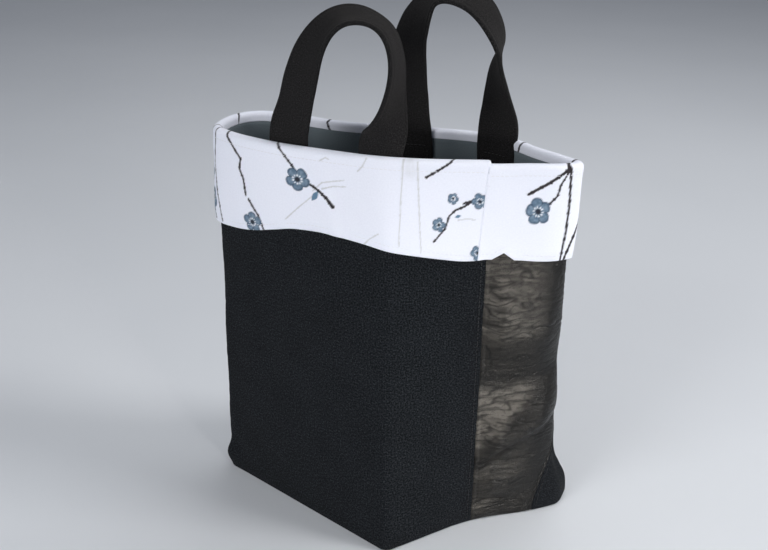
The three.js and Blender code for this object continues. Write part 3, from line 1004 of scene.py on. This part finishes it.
def strap(name, feet, arch, seed):
    centre, wide, thin = strap_route(feet, arch)
    section = strap_section()
    steps, sides = len(centre), len(section)
    travelled = distances_along(centre)
    far_along = travelled[:, None]
    width_change = 1 + 0.016 * noise(far_along / 9, section[None, :, 0] / 40 + 5, seed) * np.ones((1, sides))
    puff = 1 + 0.10 * noise(far_along / 14, section[None, :, 0] / 9 + 7, seed + 1)
    across = section[None, :, 0] * width_change
    off = section[None, :, 1] * puff + 0.25 * noise(far_along / 20, section[None, :, 0] / 14 + 9, seed + 2)
    points = centre[:, None] + wide[:, None] * across[..., None] + thin[:, None] * off[..., None]
    first = centre[0] + (points[:1] - centre[0]) * 0.985 - unit(centre[1] - centre[0]) * 0.5
    last = centre[-1] + (points[-1:] - centre[-1]) * 0.985 + unit(centre[-1] - centre[-2]) * 0.5
    grid = np.concatenate([first, points, last])
    rows = len(grid)
    index = np.arange(rows * sides).reshape(rows, sides)
    after = np.roll(index, -1, axis=1)
    corners = (index[:-1], after[:-1], after[1:], index[1:])
    faces = np.column_stack([corner.ravel() for corner in corners]).tolist()
    faces += [index[0][::-1].tolist(), index[-1].tolist()]
    spread = distances_along(section)
    lengths = np.r_[travelled[0], travelled, travelled[-1]]
    uv = np.column_stack([np.tile(spread, rows), np.repeat(lengths, sides)]) / 10
    return finished(name, grid.reshape(-1, 3), faces, strap_cloth, uv)


near_strap = strap("near_handle_band", NEAR_FEET, NEAR_ARCH, 101)
far_strap = strap("far_handle_band", FAR_FEET, FAR_ARCH, 111)


# ---------------------------------------------------------------- stitching

STITCH_SIDES = 6
# Places along a stitch, as a share of its length, and how thick it is there
STITCH_SHAPE = [(-0.5, 0.25), (-0.4, 0.8), (-0.15, 1.0), (0.15, 1.0), (0.4, 0.8), (0.5, 0.25)]


def stitches(name, runs, look, length=2.6, gap=1.0, radius=0.28):
    """One mesh of small sewn stitches. Each run is a row of points on a surface, with its normals."""
    ring = np.linspace(0, 2 * math.pi, STITCH_SIDES + 1)[:-1]
    points, faces, uv = [], [], []
    for places, normals in runs:
        travelled = distances_along(places)
        for start in np.arange(gap, travelled[-1] - length - gap, length + gap):
            middle = start + length / 2
            a, b, c, normal = (
                np.array([np.interp(value, travelled, rows[:, axis]) for axis in (0, 1, 2)])
                for value, rows in (
                    (start, places), (middle, places), (start + length, places), (middle, normals),
                )
            )
            normal = unit(normal)
            along = unit(c - a)
            side = unit(np.cross(normal, along))
            up = np.cross(along, side)
            first = len(points)
            for place, size in STITCH_SHAPE:
                centre = b + along * place * length + up * radius * (0.55 - 2.2 * place * place)
                for angle in ring:
                    points.append(centre + (side * math.cos(angle) + up * math.sin(angle)) * radius * size)
                    uv.append((angle / 10, (middle + place * length) / 10))
            for low in range(first, len(points) - STITCH_SIDES, STITCH_SIDES):
                high = low + STITCH_SIDES
                for k in range(STITCH_SIDES):
                    after = (k + 1) % STITCH_SIDES
                    faces.append([low + k, low + after, high + after, high + k])
            faces.append([first + k for k in reversed(range(STITCH_SIDES))])
            faces.append([len(points) - STITCH_SIDES + k for k in range(STITCH_SIDES)])
    return finished(name, np.array(points), faces, look, np.array(uv))


def on_wall(around, height, depth):
    """Points on the wall and the directions out of it."""
    out = outwards(around, np.clip(height, 0, RIM_HEIGHT))
    return wall(around, height, depth), np.column_stack([out, np.zeros(len(out))])


def seam_run(seam, offset, top):
    """A run beside a seam, from the base up to a height."""
    height = np.arange(3, top, 2.0)
    return on_wall(seam(height) + offset / RIM_LENGTH, height, np.full(len(height), 0.15))


canvas_stitches = stitches(
    "canvas_edge_stitches",
    [
        seam_run(side_seam, -3.6, 256),
        seam_run(leather_edge, 3.6, 250),
        seam_run(far_side_seam, -3.6, 250),
        seam_run(front_start, 3.6, 250),
    ],
    dark_thread,
)


def cuff_run(start, end, from_foot=None, at=None):
    share = np.linspace(0.004, 0.996, 220)
    around = mix(start(RIM_HEIGHT), end(RIM_HEIGHT), share)
    along = along_rim(around)
    if from_foot is None:
        place = np.full(len(share), at)
    else:
        place = cuff_foot(np.mod(along, RIM_LENGTH)) + from_foot
    around = mix(start(place), end(place), share)
    slackness = cuff_looseness(along, place) + cuff_ease(along, place)
    depth = RIM_MIDDLE - RIM_RADIUS - slackness - CUFF_THICKNESS / 2
    height = place + rim_lift(along) * smoothstep(290, 326, place)
    return on_wall(around, height, depth - 0.02)


cuff_stitches = stitches(
    "cuff_stitches",
    [
        cuff_run(cuff_start, cuff_seam, from_foot=4.5),
        cuff_run(cuff_seam, far_cuff_seam, from_foot=4.5),
        cuff_run(cuff_start, cuff_seam, at=321.5),
        cuff_run(cuff_seam, far_cuff_seam, at=321.5),
    ],
    white_thread,
    radius=0.2,
)


def strap_end_runs(foot):
    """The box of stitches that holds a sewn end, on its inner face."""
    half = STRAP_WIDTH / 2 - 4
    low, high = STRAP_SEWN[0] + 4, STRAP_SEWN[1] - 5
    depth = STRAP_DEPTH + STRAP_THICKNESS / 2 + 0.15
    runs = []
    for height in (low, high):
        across = np.linspace(-half, half, 12) / RIM_LENGTH
        runs.append(on_wall(foot + across, np.full(12, height), np.full(12, depth)))
    for side in (-half, half):
        rises = np.linspace(low, high, 14)
        runs.append(on_wall(np.full(14, foot + side / RIM_LENGTH), rises, np.full(14, depth)))
    return [(points, -normals) for points, normals in runs]


strap_stitches = stitches(
    "strap_end_stitches",
    [run for foot in NEAR_FEET + FAR_FEET for run in strap_end_runs(foot)],
    dark_thread,
)


# ---------------------------------------------------------------- bodies and nodes

FIXED_PIECES = [
    (front_canvas, "canvas", "front_canvas_panel"),
    (back_canvas, "canvas", "back_canvas_panel"),
    (base_canvas, "canvas", "base_panel"),
    (leather_strip, "leather", "leather_side_panel"),
    (front_interlining, "interlining", "front_interlining"),
    (back_interlining, "interlining", "back_interlining"),
    (base_interlining, "interlining", "base_interlining"),
    (front_lining, "lining_cotton", "front_lining"),
    (back_lining, "lining_cotton", "back_lining"),
    (base_lining, "lining_cotton", "base_lining"),
    (front_cuff, "printed_cotton", "front_cuff"),
    (back_cuff, "printed_cotton", "back_cuff"),
    (canvas_stitches, "canvas", None),
    (cuff_stitches, "printed_cotton", None),
    (strap_stitches, "strap_cloth", None),
]
for piece, slot, node in FIXED_PIECES:
    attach(piece, "bag")
    if node:
        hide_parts(node)

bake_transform(near_strap)
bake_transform(far_strap)
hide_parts("near_handle_strap", "near_handle_left_end", "near_handle_right_end")
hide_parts("far_handle_strap", "far_handle_left_end", "far_handle_right_end")


# ---------------------------------------------------------------- floor, light and camera

def floor():
    look = Look("pale_floor", 0.75, specular=0.3)
    stops = [(0.3, (0.69, 0.72, 0.76)), (0.7, (0.71, 0.74, 0.78))]
    look.colour(look.ramp(look.speckle(0.6, detail=2), stops))
    reach = 6000
    points = [(-reach, -reach, 0), (reach, -reach, 0), (reach, reach, 0), (-reach, reach, 0)]
    made = finished("floor", points, [[0, 1, 2, 3]], look.material, [(0, 0), (60, 0), (60, 60), (0, 60)])


def area_light(name, location, aim, size, power, colour=(1, 1, 1), spread=180):
    light = bpy.data.lights.new(name, "AREA")
    light.shape = "RECTANGLE"
    light.size, light.size_y = size
    light.energy = power
    light.color = colour
    light.spread = math.radians(spread)
    made = bpy.data.objects.new(name, light)
    made.location = location
    direction = np.array(aim, float) - np.array(location, float)
    flat = math.hypot(direction[0], direction[1])
    made.rotation_euler = (math.atan2(flat, -direction[2]), 0, math.atan2(-direction[0], direction[1]))
    scene.collection.objects.link(made)


floor()
# Each light: where it is, the point it faces, its size in metres, its watts and its colour
WARM = (1.0, 0.97, 0.93)
area_light("key", (-1.05, -1.8, 1.1), (0.0, 0.0, 0.2), (1.2, 0.9), 23, (1.0, 0.99, 0.97))
area_light("right_low", (1.28, -1.12, 0.26), (0.1, 0.0, 0.15), (0.4, 0.25), 0.68, WARM, spread=34)
area_light("right_back", (1.45, 0.70, 0.34), (0.1, 0.0, 0.17), (0.6, 0.45), 4.0, WARM)
area_light("right_high", (1.1, 0.15, 1.35), (-0.1, 0.0, 0.3), (0.4, 0.4), 11, (1.0, 0.98, 0.96))
area_light("top", (0.2, 1.1, 2.2), (0.0, 0.0, 0.3), (1.6, 1.2), 14)

world = bpy.data.worlds.new("studio")
world.use_nodes = True
background = world.node_tree.nodes["Background"]
background.inputs["Color"].default_value = (0.86, 0.90, 1.0, 1)
background.inputs["Strength"].default_value = 0.22
scene.world = world
scene.view_settings.view_transform = "Standard"

# The photo's view: 25 degrees down, and 17 degrees round from the front
camera_data = bpy.data.cameras.new("camera")
camera_data.sensor_width = 36
camera_data.lens = 46.875
camera_data.shift_x = -0.0111
camera = bpy.data.objects.new("camera", camera_data)
camera.location = (0.2258, -0.7487, 0.576)
camera.rotation_euler = (math.radians(65), 0, math.radians(17))
scene.collection.objects.link(camera)
scene.camera = camera

bpy.context.view_layer.update()
